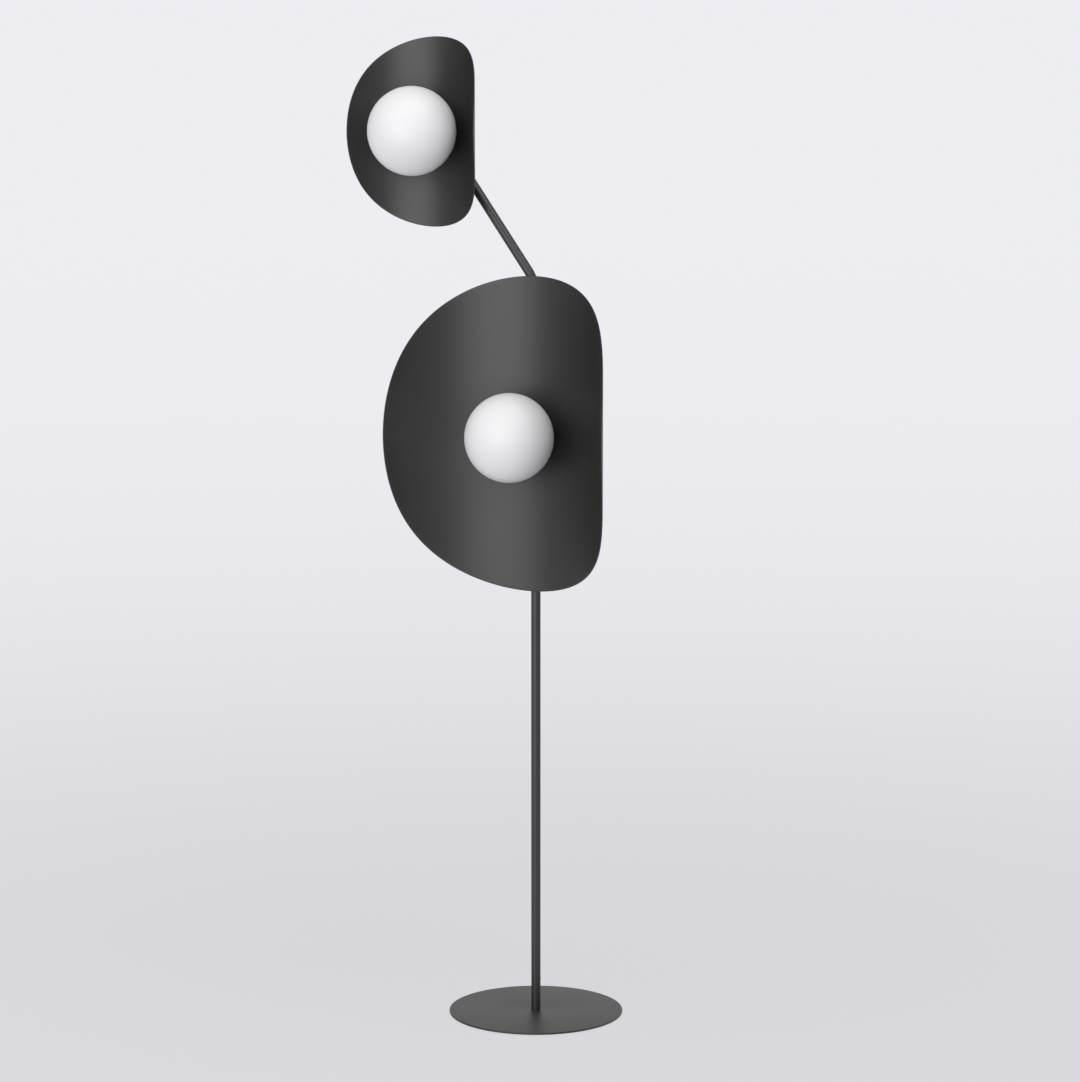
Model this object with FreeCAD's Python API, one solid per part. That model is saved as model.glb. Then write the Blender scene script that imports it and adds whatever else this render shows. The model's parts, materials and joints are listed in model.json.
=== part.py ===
"""Free-standing floor lamp with two heads: rolled round shades and opal globes on one pole.

Millimetres and degrees. The origin is on the floor under the pole's axis, at the centre of the
pad's underside. +Z is up, the globes face -Y, and the arm leans towards -X.
"""
import FreeCAD, Part
import math
import os
from FreeCAD import Placement, Rotation, Vector

# ---------------------------------------------------------------- driving dimensions
# Foot
PAD_DIAMETER = 274.0
PAD_THICKNESS = 0.8
BASE_DIAMETER = 280.0
BASE_THICKNESS = 3.0
BASE_EDGE_BREAK = 0.4
SPIGOT_HEIGHT = 32.0
TENON_RADIUS = 4.0
FOOT_SCREW_HEIGHT = 18.0        # above the plate
INLET_HEIGHT = 50.0             # above the plate

# Tubes
TUBE_DIAMETER = 15.0
TUBE_WALL = 1.5

# Heights along the pole and the arm
LOWER_HEAD_HEIGHT = 939.2       # the lower head's axis above the floor
SWIVEL_ABOVE_HEAD = 140.0       # the pole's upper end above that axis
BEND_ABOVE_SWIVEL = 99.5        # where the arm's two straight centrelines would meet
ARM_LEAN = 36.35                # from the vertical
ARM_LENGTH = 293.8              # from that meeting point to the upper head's axis
ARM_BEND_RADIUS = 70.0
ARM_OVERRUN = 14.0              # tube beyond the upper head's axis

# Swivel between the pole and the arm
INSERT_LENGTH = 60.0
INSERT_BORE_RADIUS = 3.6
SWIVEL_WASHER_THICKNESS = 0.8
SCREW_FROM_JOINT = 12.0
STOP_GROOVE_DEPTH = 1.2
SWING_FORWARD = 25.0
SWING_BACK = 205.0

# Shades: flat round blanks rolled about a vertical axis
LOWER_SHADE_DIAMETER = 500.0
LOWER_ROLL_RADIUS = 207.0
UPPER_SHADE_DIAMETER = 300.0
UPPER_ROLL_RADIUS = 123.5
SHEET_THICKNESS = 1.5
SHADE_HOLE_RADIUS = 5.3

# Fixing stack on the head's axis, from the tube forwards
BOSS_RADIUS = 9.0
BOSS_PROUD = 2.2
REAR_WASHER_RADIUS = 9.0
REAR_WASHER_THICKNESS = 0.5
REAR_SADDLE_RADIUS = 17.0
REAR_SADDLE_THICKNESS = 3.2
FRONT_SADDLE_RADIUS = 13.0
FRONT_SADDLE_THICKNESS = 1.3
WAVE_WASHER_RADIUS = 8.5
WAVE_WASHER_THICKNESS = 0.5
NUT_ACROSS_FLATS = 14.0
NUT_THICKNESS = 2.2
NIPPLE_RADIUS = 5.0
NIPPLE_BORE_RADIUS = 3.5
NIPPLE_IN_HOLDER = 5.5
LEAD_IN_HOLDER = 10.0

# Globe and what holds it
GLOBE_DIAMETER = 140.0
GLOBE_WALL = 2.5
MOUTH_RADIUS = 25.5
MOUTH_LIP = 2.5
SEAT_RADIUS = 27.0
SEAT_THICKNESS = 2.2
SEAT_SPIGOT_HEIGHT = 7.2
SEAT_SPIGOT_WALL = 2.4
GASKET_THICKNESS = 0.5
GASKET_WIDTH = 3.6
COLLAR_FLANGE_THICKNESS = 1.2
COLLAR_HUB_WALL = 2.6
COLLAR_HUB_HEIGHT = 6.0

# Lamp holder and bulb
HOLDER_RADIUS = 13.5
HOLDER_LENGTH = 40.0
HOLDER_FLOOR = 3.5
HOLDER_WALL = 2.5
HOLDER_CHAMBER = 9.0
HOLDER_WEB = 3.0
SHELL_LENGTH = 18.0
SHELL_WALL = 0.4
CONTACT_THICKNESS = 0.5
CONTACT_WIDTH = 3.6
CONTACT_RISE = 2.6
CAP_RADIUS = 6.9
CAP_LENGTH = 17.0
CAP_TIP_RADIUS = 2.4
CAP_TIP_LENGTH = 2.0
BULB_DIAMETER = 45.0
BULB_LENGTH = 78.0
BULB_SKIRT_RADIUS = 18.5

# Leads inside the tubes
SUPPLY_LEAD_RADIUS = 2.2
HEAD_LEAD_RADIUS = 1.5
HEAD_LEAD_OFFSET = 3.2          # in front of the pole's axis
HEAD_LEAD_BEND = 4.0
SUPPLY_LEAD_START = 8.0         # above the inlet's axis
CONNECTOR_RADIUS = 5.0
CONNECTOR_LENGTH = 24.0
CONNECTOR_BELOW_HEAD = 46.0

# Small fasteners and the grommet
SET_SCREW_RADIUS = 2.0
SET_SCREW_SOCKET = 1.0
SET_SCREW_SOCKET_DEPTH = 1.4
FOOT_SCREW_DEPTH = 3.0
INSERT_SCREW_DEPTH = 1.5
GROMMET_NECK_RADIUS = 4.0
GROMMET_FLANGE_RADIUS = 5.4
GROMMET_FLANGE_THICKNESS = 1.0
GROMMET_BORE_RADIUS = 2.7
PLUG_HEAD_THICKNESS = 1.5
PLUG_DEPTH = 8.0

# Clearances
RUNNING_GAP = 0.05              # round a part that turns on another
SLIP_GAP = 0.1                  # round a part that is pushed in and then held
TURN_GAP = 0.1                  # between flat faces that turn on each other
SEATING_GAP = 0.05              # between curved faces that are clamped together
BOND_GAP = 0.2                  # filled with adhesive
STOP_GAP = 0.2                  # round the stop screw's tip in its groove

# ---------------------------------------------------------------- derived sizes
ORIGIN = Vector(0, 0, 0)
UP = Vector(0, 0, 1)
FRONT = Vector(0, -1, 0)
REAR = Vector(0, 1, 0)

TUBE_RADIUS = TUBE_DIAMETER / 2
BORE_RADIUS = TUBE_RADIUS - TUBE_WALL
BASE_TOP = PAD_THICKNESS + BASE_THICKNESS
SWIVEL_HEIGHT = LOWER_HEAD_HEIGHT + SWIVEL_ABOVE_HEAD
ARM_FOOT_HEIGHT = SWIVEL_HEIGHT + SWIVEL_WASHER_THICKNESS + TURN_GAP
BEND_HEIGHT = SWIVEL_HEIGHT + BEND_ABOVE_SWIVEL
LEAN = math.radians(ARM_LEAN)
ARM_DIRECTION = Vector(-math.sin(LEAN), 0, math.cos(LEAN))
BEND_POINT = Vector(0, 0, BEND_HEIGHT)
LOWER_HEAD = Vector(0, 0, LOWER_HEAD_HEIGHT)
UPPER_HEAD = BEND_POINT + ARM_DIRECTION * ARM_LENGTH

# Distances in front of the tube's axis, along a head's axis
BOSS_FACE = TUBE_RADIUS + BOSS_PROUD
REAR_WASHER_FACE = BOSS_FACE + REAR_WASHER_THICKNESS
REAR_SADDLE_START = REAR_WASHER_FACE + TURN_GAP
SHEET_BACK = REAR_SADDLE_START + REAR_SADDLE_THICKNESS
SHEET_MIDDLE = SHEET_BACK + SHEET_THICKNESS / 2
SHEET_FRONT = SHEET_BACK + SHEET_THICKNESS
FRONT_SADDLE_FACE = SHEET_FRONT + FRONT_SADDLE_THICKNESS
WAVE_WASHER_START = FRONT_SADDLE_FACE + TURN_GAP
NUT_START = WAVE_WASHER_START + WAVE_WASHER_THICKNESS
SEAT_START = NUT_START + NUT_THICKNESS
SEAT_FACE = SEAT_START + SEAT_THICKNESS
COLLAR_START = SEAT_FACE + GASKET_THICKNESS
COLLAR_FACE = COLLAR_START + COLLAR_FLANGE_THICKNESS
MOUTH_FACE = COLLAR_FACE + BOND_GAP
LIP_RADIUS = MOUTH_RADIUS + MOUTH_LIP
GLOBE_RADIUS = GLOBE_DIAMETER / 2
GLOBE_CENTRE = MOUTH_FACE + math.sqrt(GLOBE_RADIUS ** 2 - LIP_RADIUS ** 2)
HOLDER_MOUTH = SEAT_FACE + HOLDER_LENGTH
HOLDER_WEB_START = SEAT_FACE + HOLDER_FLOOR + HOLDER_CHAMBER
HOLDER_WEB_FACE = HOLDER_WEB_START + HOLDER_WEB
CONTACT_FACE = HOLDER_WEB_FACE + CONTACT_RISE
SHELL_INNER_RADIUS = CAP_RADIUS + SLIP_GAP
SHELL_OUTER_RADIUS = SHELL_INNER_RADIUS + SHELL_WALL


# ---------------------------------------------------------------- shared shapes
def round_bar(radius, start, end, direction=FRONT):
    """A cylinder along a direction through the origin, between two distances from it."""
    return Part.makeCylinder(radius, end - start, direction * start, direction)


def ring(outer, inner, start, end, direction=FRONT):
    """A round bar with a bore."""
    return round_bar(outer, start, end, direction).cut(round_bar(inner, start, end, direction))


def turned(edges):
    """A closed profile of edges in the XY plane, turned about a head's axis."""
    face = Part.Face(Part.Wire(Part.__sortEdges__(edges)))
    return face.revolve(ORIGIN, REAR, 360)


def at(forward, radius):
    """A profile point: a distance in front of the tube's axis, and a radius from the head's axis."""
    return Vector(radius, -forward, 0)


def turned_polygon(points):
    """A profile of straight lines through (forward, radius) points, turned about a head's axis."""
    corners = [at(forward, radius) for forward, radius in points]
    ends = corners[1:] + corners[:1]
    return turned([Part.LineSegment(a, b).toShape() for a, b in zip(corners, ends)])


def swept(edges, radius):
    """A round bar along a path of tangent lines and arcs."""
    path = Part.Wire(edges)
    first = path.OrderedEdges[0]
    tangent = first.tangentAt(first.FirstParameter)
    section = Part.Wire(Part.Circle(path.OrderedVertexes[0].Point, tangent, radius).toShape())
    return path.makePipeShell([section], True, False)


def corner_arc(corner, before, after, radius):
    """The arc of a radius that rounds a corner between two unit directions, with its two ends."""
    turn = before.getAngle(after)
    reach = radius * math.tan(turn / 2)
    start = corner - before * reach
    end = corner + after * reach
    inward = (after - before).normalize()
    middle = corner + inward * (radius / math.cos(turn / 2) - radius)
    return start, Part.Arc(start, middle, end).toShape(), end


def set_screw(tip, end, direction):
    """A headless screw along a direction, with a hexagon socket in its outer end."""
    body = round_bar(SET_SCREW_RADIUS, tip, end, direction)
    socket = Part.makePolygon([Vector(SET_SCREW_SOCKET * math.cos(math.radians(60 * i)),
                                      SET_SCREW_SOCKET * math.sin(math.radians(60 * i)), 0)
                               for i in range(7)])
    key = Part.Face(socket).extrude(UP * SET_SCREW_SOCKET_DEPTH)
    key.Placement = Placement(direction * (end - SET_SCREW_SOCKET_DEPTH), Rotation(UP, direction))
    return body.cut(key)


def moved(shape, offset):
    """A copy of a shape, moved."""
    copy = shape.copy()
    copy.translate(offset)
    return copy


# ---------------------------------------------------------------- foot
def base_pad():
    """Thin felt disc that covers the plate's underside and the tenon's weld."""
    return round_bar(PAD_DIAMETER / 2, 0, PAD_THICKNESS, UP)


def base_plate():
    """Round steel plate with broken edges and a hole for the spigot's tenon."""
    radius = BASE_DIAMETER / 2
    plate = round_bar(radius, PAD_THICKNESS, BASE_TOP, UP)
    rims = [edge for edge in plate.Edges if edge.isClosed()]
    plate = plate.makeChamfer(BASE_EDGE_BREAK, rims)
    return plate.cut(round_bar(TENON_RADIUS + SEATING_GAP, PAD_THICKNESS, BASE_TOP, UP))


def base_spigot():
    """Steel bar that the pole slips over, with a tenon through the plate and a tapped side hole."""
    tenon = round_bar(TENON_RADIUS, PAD_THICKNESS, BASE_TOP, UP)
    body = round_bar(BORE_RADIUS - SLIP_GAP, BASE_TOP, BASE_TOP + SPIGOT_HEIGHT, UP)
    tapped = round_bar(SET_SCREW_RADIUS + SEATING_GAP, BORE_RADIUS - FOOT_SCREW_DEPTH, TUBE_RADIUS, REAR)
    return tenon.fuse(body).removeSplitter().cut(moved(tapped, UP * (BASE_TOP + FOOT_SCREW_HEIGHT)))


def foot_screw():
    """Set screw that pins the pole to the spigot, at the rear."""
    screw = set_screw(BORE_RADIUS - FOOT_SCREW_DEPTH, TUBE_RADIUS, REAR)
    return moved(screw, UP * (BASE_TOP + FOOT_SCREW_HEIGHT))


def lower_pole():
    """Straight tube from the plate to the swivel, with its three rear holes and the nipple's hole."""
    tube = ring(TUBE_RADIUS, BORE_RADIUS, BASE_TOP, SWIVEL_HEIGHT, UP)
    screw_hole = round_bar(SET_SCREW_RADIUS + SLIP_GAP, 0, TUBE_DIAMETER, REAR)
    inlet_hole = round_bar(GROMMET_NECK_RADIUS + SEATING_GAP, 0, TUBE_DIAMETER, REAR)
    nipple_hole = round_bar(NIPPLE_RADIUS + SEATING_GAP, 0, TUBE_DIAMETER, FRONT)
    tube = tube.cut(moved(screw_hole, UP * (BASE_TOP + FOOT_SCREW_HEIGHT)))
    tube = tube.cut(moved(inlet_hole, UP * (BASE_TOP + INLET_HEIGHT)))
    tube = tube.cut(moved(nipple_hole, LOWER_HEAD))
    return tube.cut(moved(screw_hole, UP * (SWIVEL_HEIGHT - SCREW_FROM_JOINT)))


def inlet_grommet():
    """Rubber bush in the pole's wall where the cord goes in, with a flange on each side of the wall."""
    outer_end = TUBE_RADIUS + GROMMET_FLANGE_THICKNESS
    inner_end = BORE_RADIUS - GROMMET_FLANGE_THICKNESS
    flanges = round_bar(GROMMET_FLANGE_RADIUS, 0, outer_end, REAR)
    wall = ring(TUBE_RADIUS + SEATING_GAP, BORE_RADIUS - SEATING_GAP,
                -TUBE_DIAMETER, TUBE_DIAMETER, UP)
    neck = round_bar(GROMMET_NECK_RADIUS, 0, TUBE_RADIUS, REAR)
    bush = flanges.cut(wall).fuse(neck).removeSplitter()
    bush = bush.common(ring(outer_end, inner_end, -TUBE_DIAMETER, TUBE_DIAMETER, UP))
    bush = bush.cut(round_bar(GROMMET_BORE_RADIUS, 0, TUBE_DIAMETER, REAR))
    return moved(bush, UP * (BASE_TOP + INLET_HEIGHT))


# ---------------------------------------------------------------- swivel and arm
def swivel_insert():
    """Bored brass bar: its lower half is pinned in the pole, its upper half has the stop groove."""
    radius = BORE_RADIUS - RUNNING_GAP
    half = INSERT_LENGTH / 2
    bar = ring(radius, INSERT_BORE_RADIUS, SWIVEL_HEIGHT - half, SWIVEL_HEIGHT + half, UP)
    tapped = round_bar(SET_SCREW_RADIUS + SEATING_GAP, radius - INSERT_SCREW_DEPTH, TUBE_RADIUS, REAR)
    bar = bar.cut(moved(tapped, UP * (SWIVEL_HEIGHT - SCREW_FROM_JOINT)))
    return bar.cut(stop_groove(radius))


def stop_groove(radius):
    """The part turn of a groove that the stop screw's tip travels in, as a solid to cut away."""
    half_width = SET_SCREW_RADIUS + STOP_GAP
    floor = radius - STOP_GROOVE_DEPTH
    height = ARM_FOOT_HEIGHT + SCREW_FROM_JOINT
    end_angle = math.degrees(math.asin(half_width / floor))
    corners = [Vector(floor, 0, -half_width), Vector(TUBE_RADIUS, 0, -half_width),
               Vector(TUBE_RADIUS, 0, half_width), Vector(floor, 0, half_width),
               Vector(floor, 0, -half_width)]
    section = Part.Face(Part.makePolygon(corners))
    sweep = SWING_FORWARD + SWING_BACK + 2 * end_angle
    groove = section.revolve(ORIGIN, UP, sweep)
    groove.rotate(ORIGIN, UP, 90 - SWING_BACK - end_angle)
    return moved(groove, UP * height)


def insert_screw():
    """Set screw that pins the insert in the pole, at the rear."""
    screw = set_screw(BORE_RADIUS - RUNNING_GAP - INSERT_SCREW_DEPTH, TUBE_RADIUS, REAR)
    return moved(screw, UP * (SWIVEL_HEIGHT - SCREW_FROM_JOINT))


def swivel_washer():
    """Slippery ring between the ends of the two tubes."""
    return ring(TUBE_RADIUS, BORE_RADIUS, SWIVEL_HEIGHT, SWIVEL_HEIGHT + SWIVEL_WASHER_THICKNESS, UP)


def arm_stop_screw():
    """Set screw in the arm's wall, with its tip in the insert's groove."""
    tip = BORE_RADIUS - RUNNING_GAP - STOP_GROOVE_DEPTH + STOP_GAP
    return moved(set_screw(tip, TUBE_RADIUS, REAR), UP * (ARM_FOOT_HEIGHT + SCREW_FROM_JOINT))


def arm_path(start_height, end_point):
    """The arm's centreline: straight up, round the bend, then straight along the lean."""
    bend_start, bend, bend_end = corner_arc(BEND_POINT, UP, ARM_DIRECTION, ARM_BEND_RADIUS)
    foot = Part.LineSegment(Vector(0, 0, start_height), bend_start).toShape()
    slope = Part.LineSegment(bend_end, end_point).toShape()
    return [foot, bend, slope]


def arm_tube():
    """Bent tube from the swivel to just past the upper head, with its screw and nipple holes."""
    path = arm_path(ARM_FOOT_HEIGHT, UPPER_HEAD + ARM_DIRECTION * ARM_OVERRUN)
    tube = swept(path, TUBE_RADIUS).cut(swept(path, BORE_RADIUS))
    screw_hole = round_bar(SET_SCREW_RADIUS + SEATING_GAP, 0, TUBE_DIAMETER, REAR)
    nipple_hole = round_bar(NIPPLE_RADIUS + SEATING_GAP, 0, TUBE_DIAMETER, FRONT)
    tube = tube.cut(moved(screw_hole, UP * (ARM_FOOT_HEIGHT + SCREW_FROM_JOINT)))
    return tube.cut(moved(nipple_hole, UPPER_HEAD))


def arm_end_plug():
    """Push-in plug that closes the arm's upper end."""
    head = round_bar(TUBE_RADIUS, ARM_OVERRUN, ARM_OVERRUN + PLUG_HEAD_THICKNESS, ARM_DIRECTION)
    rims = [edge for edge in head.Edges if edge.isClosed()]
    outer_rim = max(rims, key=lambda edge: edge.CenterOfMass.dot(ARM_DIRECTION))
    head = head.makeChamfer(PLUG_HEAD_THICKNESS / 2, [outer_rim])
    shank = round_bar(BORE_RADIUS - SLIP_GAP, ARM_OVERRUN - PLUG_DEPTH, ARM_OVERRUN, ARM_DIRECTION)
    return moved(head.fuse(shank).removeSplitter(), UPPER_HEAD)


# ---------------------------------------------------------------- leads inside the tubes
def supply_lead():
    """Lead up the pole, from just above the inlet, which stays clear for the cord, to the connector."""
    bottom = BASE_TOP + INLET_HEIGHT + SUPPLY_LEAD_START
    top = LOWER_HEAD_HEIGHT - CONNECTOR_BELOW_HEAD - CONNECTOR_LENGTH
    return round_bar(SUPPLY_LEAD_RADIUS, bottom, top, UP)


def lead_connector():
    """Splice block in the pole, where the supply divides between the two heads."""
    top = LOWER_HEAD_HEIGHT - CONNECTOR_BELOW_HEAD
    return round_bar(CONNECTOR_RADIUS, top - CONNECTOR_LENGTH, top, UP)


def lower_head_lead():
    """Lead from the connector, forwards through the lower nipple into the lamp holder."""
    bottom = LOWER_HEAD + FRONT * HEAD_LEAD_OFFSET - UP * CONNECTOR_BELOW_HEAD
    corner = LOWER_HEAD + FRONT * HEAD_LEAD_OFFSET
    start, bend, end = corner_arc(corner, UP, FRONT, HEAD_LEAD_BEND)
    tip = LOWER_HEAD + FRONT * (SEAT_FACE + LEAD_IN_HOLDER)
    rise = Part.LineSegment(bottom, start).toShape()
    run = Part.LineSegment(end, tip).toShape()
    return swept([rise, bend, run], HEAD_LEAD_RADIUS)


def riser_lead():
    """Lead from the connector, behind the lower nipple, up through the insert."""
    bottom = LOWER_HEAD_HEIGHT - CONNECTOR_BELOW_HEAD
    return round_bar(HEAD_LEAD_RADIUS, bottom, SWIVEL_HEIGHT + INSERT_LENGTH / 2, UP)


def arm_lead():
    """Lead from the insert along the arm, then forwards through the upper nipple."""
    start, bend, end = corner_arc(UPPER_HEAD, ARM_DIRECTION, FRONT, BORE_RADIUS)
    tip = UPPER_HEAD + FRONT * (SEAT_FACE + LEAD_IN_HOLDER)
    path = arm_path(SWIVEL_HEIGHT + INSERT_LENGTH / 2 + TURN_GAP, start)
    return swept(path + [bend, Part.LineSegment(end, tip).toShape()], HEAD_LEAD_RADIUS)


# ---------------------------------------------------------------- heads, on an axis through the origin
def boss(lean):
    """Welded boss: its back is cut to the tube, its front is flat and tapped for the nipple."""
    tube = round_bar(TUBE_RADIUS, -TUBE_DIAMETER, TUBE_DIAMETER, UP)
    tube.rotate(ORIGIN, REAR, -lean)
    body = round_bar(BOSS_RADIUS, 0, BOSS_FACE).cut(tube)
    return body.cut(round_bar(NIPPLE_RADIUS + SEATING_GAP, 0, BOSS_FACE))


def nipple():
    """Hollow threaded rod from the tube's bore to the lamp holder; the lead runs through it."""
    return ring(NIPPLE_RADIUS, NIPPLE_BORE_RADIUS, BORE_RADIUS + SEATING_GAP, SEAT_FACE + NIPPLE_IN_HOLDER)


def rear_washer():
    """Slippery washer on the boss, which the rear saddle turns on."""
    return ring(REAR_WASHER_RADIUS, NIPPLE_RADIUS + SEATING_GAP, BOSS_FACE, REAR_WASHER_FACE)


def roll_cylinder(roll_radius, offset):
    """The upright cylinder that a sheet is rolled on, grown by an offset from the sheet's middle."""
    reach = REAR_SADDLE_RADIUS * 2
    axis_foot = FRONT * (SHEET_MIDDLE + roll_radius) - UP * reach
    return Part.makeCylinder(roll_radius + offset, reach * 2, axis_foot, UP)


def rear_saddle(roll_radius):
    """Saddle behind the sheet: flat at the back, hollowed at the front to the rolled sheet."""
    deepest = SHEET_BACK + roll_radius - math.sqrt(roll_radius ** 2 - REAR_SADDLE_RADIUS ** 2)
    body = ring(REAR_SADDLE_RADIUS, NIPPLE_RADIUS + RUNNING_GAP, REAR_SADDLE_START, deepest)
    return body.cut(roll_cylinder(roll_radius, SHEET_THICKNESS / 2 + SEATING_GAP))


def front_saddle(roll_radius):
    """Saddle in front of the sheet: crowned at the back to the rolled sheet, flat at the front."""
    body = ring(FRONT_SADDLE_RADIUS, NIPPLE_RADIUS + RUNNING_GAP, SHEET_BACK, FRONT_SADDLE_FACE)
    return body.common(roll_cylinder(roll_radius, -SHEET_THICKNESS / 2 - SEATING_GAP))


def rolled_shade(diameter, roll_radius):
    """A flat round blank rolled about an upright axis in front of it.

    The blank's outline is drawn in the parameters of the inner cylinder, an angle and a height,
    so its developed shape stays a circle. The sheet's thickness is then added outwards.
    """
    inner = Part.Cylinder()
    inner.Radius = roll_radius - SHEET_THICKNESS / 2
    facing_tube = math.pi / 2
    blank_radius = diameter / 2
    vector = FreeCAD.Base.Vector2d
    outline = Part.Geom2d.Ellipse2d(vector(facing_tube, blank_radius),
                                    vector(facing_tube + blank_radius / roll_radius, 0),
                                    vector(facing_tube, 0))
    skin = Part.Face(inner, Part.Wire([outline.toShape(inner)]))
    skin.validate()
    sheet = skin.makeOffsetShape(SHEET_THICKNESS, 0.001, fill=True)
    sheet.translate(FRONT * (SHEET_MIDDLE + roll_radius))
    return sheet.cut(round_bar(SHADE_HOLE_RADIUS, 0, FRONT_SADDLE_FACE))


def wave_washer():
    """Wave washer, drawn pressed flat, that holds the shade by friction."""
    return ring(WAVE_WASHER_RADIUS, NIPPLE_RADIUS + SLIP_GAP, WAVE_WASHER_START, NUT_START)


def jam_nut():
    """Thin hexagon nut on the nipple."""
    corner_radius = NUT_ACROSS_FLATS / math.sqrt(3)
    corners = [Vector(corner_radius * math.cos(math.radians(60 * i)), -NUT_START,
                      corner_radius * math.sin(math.radians(60 * i))) for i in range(7)]
    prism = Part.Face(Part.makePolygon(corners)).extrude(FRONT * NUT_THICKNESS)
    return prism.cut(round_bar(NIPPLE_RADIUS + SEATING_GAP, NUT_START, SEAT_START))


def globe_seat():
    """Turned seat on the nipple: a disc with a hollow threaded spigot for the globe's collar."""
    spigot_radius = MOUTH_RADIUS - BOND_GAP - COLLAR_HUB_WALL - SLIP_GAP
    spigot_end = SEAT_FACE + SEAT_SPIGOT_HEIGHT
    hollow = spigot_radius - SEAT_SPIGOT_WALL
    bore = NIPPLE_RADIUS + SEATING_GAP
    return turned_polygon([(SEAT_START, bore), (SEAT_START, SEAT_RADIUS), (SEAT_FACE, SEAT_RADIUS),
                           (SEAT_FACE, spigot_radius), (spigot_end, spigot_radius),
                           (spigot_end, hollow), (SEAT_FACE, hollow), (SEAT_FACE, bore)])


def globe_gasket():
    """Soft ring between the seat and the globe's collar."""
    inner = MOUTH_RADIUS - BOND_GAP - COLLAR_HUB_WALL + SLIP_GAP
    return ring(inner + GASKET_WIDTH, inner, SEAT_FACE, COLLAR_START)


def globe_collar():
    """Threaded ring bonded into the globe's mouth."""
    inner = MOUTH_RADIUS - BOND_GAP - COLLAR_HUB_WALL
    hub = MOUTH_RADIUS - BOND_GAP
    hub_end = COLLAR_FACE + COLLAR_HUB_HEIGHT
    return turned_polygon([(COLLAR_START, inner), (COLLAR_START, LIP_RADIUS), (COLLAR_FACE, LIP_RADIUS),
                           (COLLAR_FACE, hub), (hub_end, hub), (hub_end, inner)])


def globe():
    """Blown ball of one wall, with a mouth ground flat at the rear."""
    inner_radius = GLOBE_RADIUS - GLOBE_WALL
    inner_mouth = GLOBE_CENTRE - math.sqrt(inner_radius ** 2 - MOUTH_RADIUS ** 2)
    outside = Part.Arc(at(MOUTH_FACE, LIP_RADIUS), at(GLOBE_CENTRE, GLOBE_RADIUS),
                       at(GLOBE_CENTRE + GLOBE_RADIUS, 0)).toShape()
    inside = Part.Arc(at(inner_mouth, MOUTH_RADIUS), at(GLOBE_CENTRE, inner_radius),
                      at(GLOBE_CENTRE + inner_radius, 0)).toShape()
    front = Part.LineSegment(at(GLOBE_CENTRE + GLOBE_RADIUS, 0),
                             at(GLOBE_CENTRE + inner_radius, 0)).toShape()
    lip = Part.LineSegment(at(MOUTH_FACE, LIP_RADIUS), at(MOUTH_FACE, MOUTH_RADIUS)).toShape()
    hole = Part.LineSegment(at(MOUTH_FACE, MOUTH_RADIUS), at(inner_mouth, MOUTH_RADIUS)).toShape()
    return turned([outside, front, inside, hole, lip])


def holder_body():
    """Moulded lamp holder: wiring chamber, web with a contact hole, and a socket for the shell."""
    chamber = HOLDER_RADIUS - HOLDER_WALL
    floor = SEAT_FACE + HOLDER_FLOOR
    shell_seat = SHELL_OUTER_RADIUS + SEATING_GAP
    shell_end = HOLDER_WEB_FACE + SHELL_LENGTH
    bore = NIPPLE_RADIUS + SEATING_GAP
    return turned_polygon([(SEAT_FACE, bore), (SEAT_FACE, HOLDER_RADIUS), (HOLDER_MOUTH, HOLDER_RADIUS),
                           (HOLDER_MOUTH, chamber), (shell_end, chamber), (shell_end, shell_seat),
                           (HOLDER_WEB_FACE, shell_seat), (HOLDER_WEB_FACE, CAP_TIP_RADIUS),
                           (HOLDER_WEB_START, CAP_TIP_RADIUS), (HOLDER_WEB_START, chamber),
                           (floor, chamber), (floor, bore)])


def holder_shell():
    """Thin brass screw shell in the lamp holder."""
    return ring(SHELL_OUTER_RADIUS, SHELL_INNER_RADIUS, HOLDER_WEB_FACE, HOLDER_WEB_FACE + SHELL_LENGTH)


def holder_contact():
    """Sprung centre contact: a strip that rises from the web and lies under the bulb's tip."""
    half = CONTACT_WIDTH / 2
    foot = SHELL_INNER_RADIUS - 2 * CONTACT_THICKNESS
    rise = HOLDER_WEB_FACE
    top = CONTACT_FACE
    points = [(rise, -foot), (rise, -half), (top - CONTACT_THICKNESS, half), (top - CONTACT_THICKNESS, foot / 2),
              (top, foot / 2), (top, half), (rise + CONTACT_THICKNESS, -half - CONTACT_THICKNESS),
              (rise + CONTACT_THICKNESS, -foot), (rise, -foot)]
    outline = Part.makePolygon([Vector(-half, -forward, across) for forward, across in points])
    return Part.Face(outline).extrude(Vector(CONTACT_WIDTH, 0, 0))


def bulb_cap():
    """The bulb's screw cap, with an insulating cone and a centre tip."""
    shoulder = CONTACT_FACE + CAP_TIP_LENGTH
    end = CONTACT_FACE + CAP_LENGTH + CAP_TIP_LENGTH
    return turned_polygon([(CONTACT_FACE, 0), (CONTACT_FACE, CAP_TIP_RADIUS),
                           (shoulder, CAP_RADIUS), (end, CAP_RADIUS), (end, 0)])


def bulb_body():
    """Moulded skirt of the bulb, from the cap out to the diffuser."""
    start = CONTACT_FACE + CAP_LENGTH + CAP_TIP_LENGTH
    centre = CONTACT_FACE + BULB_LENGTH - BULB_DIAMETER / 2
    rim = centre - math.sqrt((BULB_DIAMETER / 2) ** 2 - BULB_SKIRT_RADIUS ** 2)
    return turned_polygon([(start, 0), (start, CAP_RADIUS), (rim, BULB_SKIRT_RADIUS), (rim, 0)])


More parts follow.
